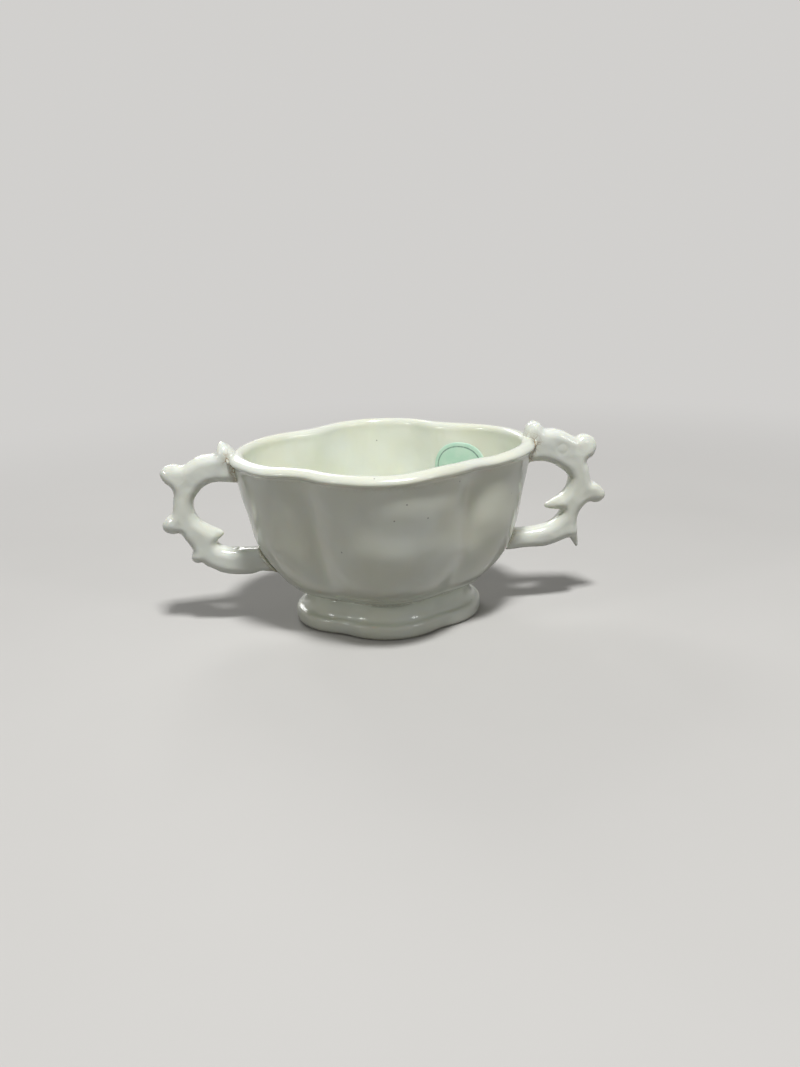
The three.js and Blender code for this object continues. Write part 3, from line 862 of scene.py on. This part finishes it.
def shell_faces(within):
    """Quads over both sides of the grid places inside the outline, and round its edge."""
    number = np.cumsum(within).reshape(within.shape) - 1
    count = int(within.sum())
    cells = within[:-1, :-1] & within[1:, :-1] & within[:-1, 1:] & within[1:, 1:]
    faces = []
    for i, k in zip(*np.nonzero(cells)):
        ring = [number[i, k], number[i + 1, k], number[i + 1, k + 1], number[i, k + 1]]
        faces += [tuple(ring), tuple(count + corner for corner in ring[::-1])]
        beside = ((i, k - 1), (i + 1, k), (i, k + 1), (i - 1, k))
        for side, (a, b) in enumerate(beside):
            if not (0 <= a < cells.shape[0] and 0 <= b < cells.shape[1] and cells[a, b]):
                start, stop = ring[side], ring[(side + 1) % 4]
                faces.append((start, count + start, count + stop, stop))
    return faces


def blown_up(points):
    """Points and faces of a closed shell, blown up from an outline."""
    outline = spline(points, 5)
    outs = np.arange(outline[:, 0].min() - 1, outline[:, 0].max() + 1, GRID)
    heights = np.arange(outline[:, 1].min() - 1, outline[:, 1].max() + 1, GRID)
    grid_out, grid_up = np.meshgrid(outs, heights, indexing="ij")
    places = np.column_stack((grid_out.ravel(), grid_up.ravel()))
    depth = inside_depth(outline, places).reshape(grid_out.shape) + MELT_LOSS
    within = depth > 0
    front_side = np.column_stack((grid_out[within], -half_widths(depth)[within], grid_up[within]))
    return np.vstack((front_side, front_side * (1, -1, 1))), shell_faces(within)


print("Widest, mm:", 2 * WIDEST)

# %% Fuse and melt
VOXEL = 0.26
MELT_PASSES = 13


def fuse(name, points, faces):
    """One smooth mesh from a rough closed shell."""
    rough = make_piece(name + "_rough", points, faces)
    remesh = rough.modifiers.new("fuse", "REMESH")
    remesh.mode = "VOXEL"
    remesh.voxel_size = VOXEL * MM
    melt = rough.modifiers.new("melt", "SMOOTH")
    melt.factor = 0.5
    melt.iterations = MELT_PASSES
    evaluated = rough.evaluated_get(bpy.context.evaluated_depsgraph_get())
    mesh = bpy.data.meshes.new_from_object(evaluated)
    bpy.data.objects.remove(rough)
    mesh.name = name
    mesh.shade_smooth()
    piece = bpy.data.objects.new(name, mesh)
    scene.collection.objects.link(piece)
    return piece


print("Voxel, mm:", VOXEL)

# %% Read and move the points of a mesh
def vectors_of(piece, kind):
    flat = np.empty(len(piece.data.vertices) * 3, np.float32)
    piece.data.vertices.foreach_get(kind, flat)
    return flat.reshape(-1, 3).astype(float)


def points_of(piece):
    return vectors_of(piece, "co") / MM


def normals_of(piece):
    return vectors_of(piece, "normal")


def edge_ends(piece):
    ends = np.empty(len(piece.data.edges) * 2, np.int32)
    piece.data.edges.foreach_get("vertices", ends)
    return ends.reshape(-1, 2)


def even_out(piece, values, passes):
    """Numbers at the points of a mesh, evened out between neighbours."""
    start, stop = edge_ends(piece).T
    count = np.bincount(np.append(start, stop), minlength=len(values))
    for _ in range(passes):
        around = np.bincount(start, values[stop], len(values))
        around += np.bincount(stop, values[start], len(values))
        values = (values + around / np.maximum(count, 1)) / 2
    return values


def move_points(piece, points):
    piece.data.vertices.foreach_set("co", (points * MM).astype(np.float32).ravel())
    piece.data.update()


print("Point helpers ready")

# %% Find the bits and their creases
CREASE_SPREAD = 0.7
BIT_RAMP = 3.0  # how far out from the strap a bit is fully a bit
STUCK_ON = ("snout", "outer_knob", "inner_thorn", "lower_spur")


def bits_and_creases(side, points):
    """How far out on a bit each point is, and how near the joint between bit and strap."""
    to_strap = distance_to(f"{side}_handle", points)
    to_bit = np.min([distance_to(f"{side}_{bit}", points) for bit in STUCK_ON], axis=0)
    out_on_bit = np.clip((to_strap - to_bit) / BIT_RAMP, 0, 1)
    joint = np.exp(-((to_bit - to_strap) / CREASE_SPREAD) ** 2 - (to_bit / (3 * CREASE_SPREAD)) ** 2)
    return out_on_bit, joint


print("Bits on each strap:", ", ".join(STUCK_ON))

# %% Model both handles
HAND_LUMPS = ((0.16, 5.5, 11.0), (0.05, 2.0, 5.0))  # height, size and seed
EYE_SPOT = {"right": (53.8, 49.3)}  # distance out and height of the faint ring on the head
EYE_RADIUS = 1.5
EYE_LINE = 0.6
EYE_DEPTH = 0.07
FLAT_SIDE = 2.0  # the ring shows only this far from the handle's middle
CREASE = 0.10
CREASE_PASSES = 8  # how far the crease is evened out
BIT_TAPER = 0.28  # how much narrower the bits are than the strap
TAPER_PASSES = 60


def model_handle(side):
    handle = fuse(f"{side}_handle_clay", *blown_up(OUTLINES[side]))
    points = points_of(handle)
    shift = sum(height * wander(points, size, seed) for height, size, seed in HAND_LUMPS)
    if side in EYE_SPOT:
        away = np.hypot(points[:, 0] - EYE_SPOT[side][0], points[:, 2] - EYE_SPOT[side][1])
        ring = np.exp(-((away - EYE_RADIUS) / EYE_LINE) ** 2)
        shift -= EYE_DEPTH * ring * (np.abs(points[:, 1]) > FLAT_SIDE)
    turned = points * (-1, -1, 1) if side == "left" else points
    out_on_bit, joint = bits_and_creases(side, turned)
    shift -= CREASE * even_out(handle, joint, CREASE_PASSES)
    points += normals_of(handle) * shift[:, None]
    points[:, 1] *= 1 - BIT_TAPER * even_out(handle, out_on_bit, TAPER_PASSES)
    if side == "left":
        points[:, :2] *= -1
    move_points(handle, points)
    return handle


handles = {side: model_handle(side) for side in OUTLINES}
print("Handle faces:", [len(handle.data.polygons) for handle in handles.values()])

# %% Glaze the handles
HOLLOW = 0.02  # how far under its neighbours a point lies in a full hollow
HOLLOW_POOL = 0.5
UPPER_DIRT = (0.9, 1.3)  # how strong, and how far it spreads
LOWER_DIRT = (0.6, 0.6)
THORN_DIRT = (0.6, 1.5)
CREASE_DIRT = 0.06


def hollows(piece, points):
    """How deep each point lies in a hollow of the mesh: 0 on a bulge, up to 1 in a crease."""
    ends = edge_ends(piece)
    normals = normals_of(piece)
    depth, count = np.zeros(len(points)), np.zeros(len(points))
    for here, there in (ends.T, ends.T[::-1]):
        np.add.at(depth, here, ((points[there] - points[here]) * normals[here]).sum(1))
        np.add.at(count, here, 1)
    return np.clip(depth / np.maximum(count, 1) / HOLLOW, 0, 1)


def dirt_near(node, points, dirt):
    strength, spread = dirt
    return strength * near(node, points, spread)


for side, handle in handles.items():
    points = points_of(handle)
    hollow = hollows(handle, points)
    paint(handle, "pooled", HOLLOW_POOL * hollow)
    dirt = dirt_near(f"{side}_upper_slip", points, UPPER_DIRT)
    dirt += dirt_near(f"{side}_lower_slip", points, LOWER_DIRT)
    dirt += dirt_near(f"{side}_inner_thorn", points, THORN_DIRT) * hollow
    paint(handle, "stains_and_painted_shade", dirt + CREASE_DIRT * bits_and_creases(side, points)[1])
    handle.data.materials.append(glaze(f"{side}_handle_glaze", body=(WHITE_CLAY, COOL_CLAY)))
    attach(handle, "root")
    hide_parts(f"{side}_handle", f"{side}_crest", *(f"{side}_{bit}" for bit in STUCK_ON))
print("Glazed:", ", ".join(handle.name for handle in handles.values()))

# %% [markdown]
# ## The joints of the handles
# Slip squeezed out round each end of a handle and was left as an uneven collar, now brown with old dirt.
# A bevelled curve could be laid round each end, but the measured pads of slip already have the right shape,
# so each is swollen a little and melted in the same way as the handles.

# %% Swell the pads of slip
JOINTS = [f"{side}_{end}_slip" for side in ("left", "right") for end in ("upper", "lower")]
SWELL = 0.32
SWELL_WANDER = (0.1, 3.0)  # how uneven the swelling is, and over what size
WELD = 0.001


def collar(node):
    work = bmesh.new()
    work.from_mesh(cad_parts[node].data)
    bmesh.ops.remove_doubles(work, verts=work.verts, dist=WELD * MM)
    bmesh.ops.recalc_face_normals(work, faces=work.faces)
    work.verts.ensure_lookup_table()
    points = np.array([vertex.co / MM for vertex in work.verts])
    normals = np.array([vertex.normal for vertex in work.verts])
    faces = [tuple(vertex.index for vertex in face.verts) for face in work.faces]
    work.free()
    thickness = SWELL + SWELL_WANDER[0] * wander(points, SWELL_WANDER[1], 2.0)
    return fuse(node + "_collar", points + normals * thickness[:, None], faces)


collars = {node: collar(node) for node in JOINTS}
print("Collar faces:", [len(piece.data.polygons) for piece in collars.values()])

# %% Stain the collars
COLLAR_DIRT = {"upper": 0.95, "lower": 0.6}
DIRT_WANDER = (0.4, 2.5)  # how patchy the dirt is, and over what size

for node, piece in collars.items():
    _, end, _ = node.split("_")
    patches = DIRT_WANDER[0] * wander(points_of(piece), DIRT_WANDER[1], 4.0)
    paint(piece, "stains_and_painted_shade", COLLAR_DIRT[end] + patches)
    piece.data.materials.append(slip_glaze)
    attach(piece, "root")
    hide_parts(node)
print("Collars:", len(collars))

# %% [markdown]
# ## The paper label
# A round paper label is stuck to the inside of the wall. A flat disc would float off the curve, so each
# point of the label takes the radius of the wall at its own angle and height, and strays with it. The
# paper is soft green with fine fibres and one thin, worn ring.

# %% Lay the label on the wall
LABEL_RADIUS = 7.9
LABEL_LIFT = 0.22
LABEL_SINK = 0.12
LABEL_SIDES = 120
LABEL_EDGE = 0.012  # its rounded edge, as a share of its radius
EDGE_LIFT = 0.6  # and how far up that edge starts, as a share of the lift
label_low, label_high = (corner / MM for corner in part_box("paper_label"))
label_height = (label_low.z + label_high.z) / 2
label_angle = math.radians(38)  # from the cup's right end, towards the back


def label_level(share, lift):
    turn = np.linspace(0, 2 * np.pi, LABEL_SIDES, endpoint=False)
    height = label_height + share * LABEL_RADIUS * np.sin(turn)
    reach = lobed_radius(bowl_plan(half_length_at(label_height), -WALL), label_angle, SOFT_NOTCH)
    angle = label_angle - share * LABEL_RADIUS * np.cos(turn) / reach
    plans = [bowl_plan(half_length_at(z), -WALL - lift) for z in height]
    radius = np.array([lobed_radius(plan, a, SOFT_NOTCH) for plan, a in zip(plans, angle)])
    return np.column_stack((radius * np.cos(angle), radius * np.sin(angle), height))


shares = np.linspace(0, 1, 14)[1:]
back = [label_level(share, -LABEL_SINK) for share in shares]
front = [label_level(share, LABEL_LIFT) for share in shares[::-1]]
front[0] = label_level(1 - LABEL_EDGE, LABEL_LIFT)
label_points, label_faces = closed_skin(back + [label_level(1, LABEL_LIFT * EDGE_LIFT)] + front)
label = make_piece("round_label", hand_shape(label_points), label_faces)
print("Label faces:", len(label_faces))

# %% Colour the paper
MINT = (0.495, 0.755, 0.61, 1)
FADED_MINT = (0.585, 0.79, 0.66, 1)
PRINTED = (0.16, 0.27, 0.22, 1)
RING_START, RING_STOP = (0.80, 0.82), (0.85, 0.87)  # where the ring fades in and out, from the middle
label_shares = np.concatenate([np.repeat(list(shares) + [1] + list(shares[::-1]), LABEL_SIDES), (0, 0)])
paint(label, "from_middle", label_shares)

label_paper, tree, shader = new_material("label_paper")
fibre = grain(tree, 0.5, 6, stretch=(1, 1, 2.5))
colour = mix_colours(tree, ramp(tree, grain(tree, 4), 0.35, 0.65), MINT, FADED_MINT)
colour = mix_colours(tree, ramp(tree, fibre, 0.3, 0.75, 0, 0.3), colour, FADED_MINT)
middle = painted(tree, "from_middle")
ring_in, ring_out = ramp(tree, middle, *RING_START), ramp(tree, middle, *RING_STOP, 1.0, 0.0)
ring = calculate(tree, "MULTIPLY", ring_in, ring_out)
worn = ramp(tree, grain(tree, 0.7, 4), 0.42, 0.6, 0.7, 0.9)
colour = mix_colours(tree, calculate(tree, "MULTIPLY", ring, worn), colour, PRINTED)
tree.links.new(colour, shader.inputs["Base Color"])
shader.inputs["Roughness"].default_value = 0.8
bump = add_node(tree, "ShaderNodeBump", {"Strength": 0.25, "Distance": 0.1 * MM, "Height": fibre})
tree.links.new(bump.outputs["Normal"], shader.inputs["Normal"])
label.data.materials.append(label_paper)
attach(label, "root")
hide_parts("paper_label")
print("Label, mm across:", 2 * LABEL_RADIUS)
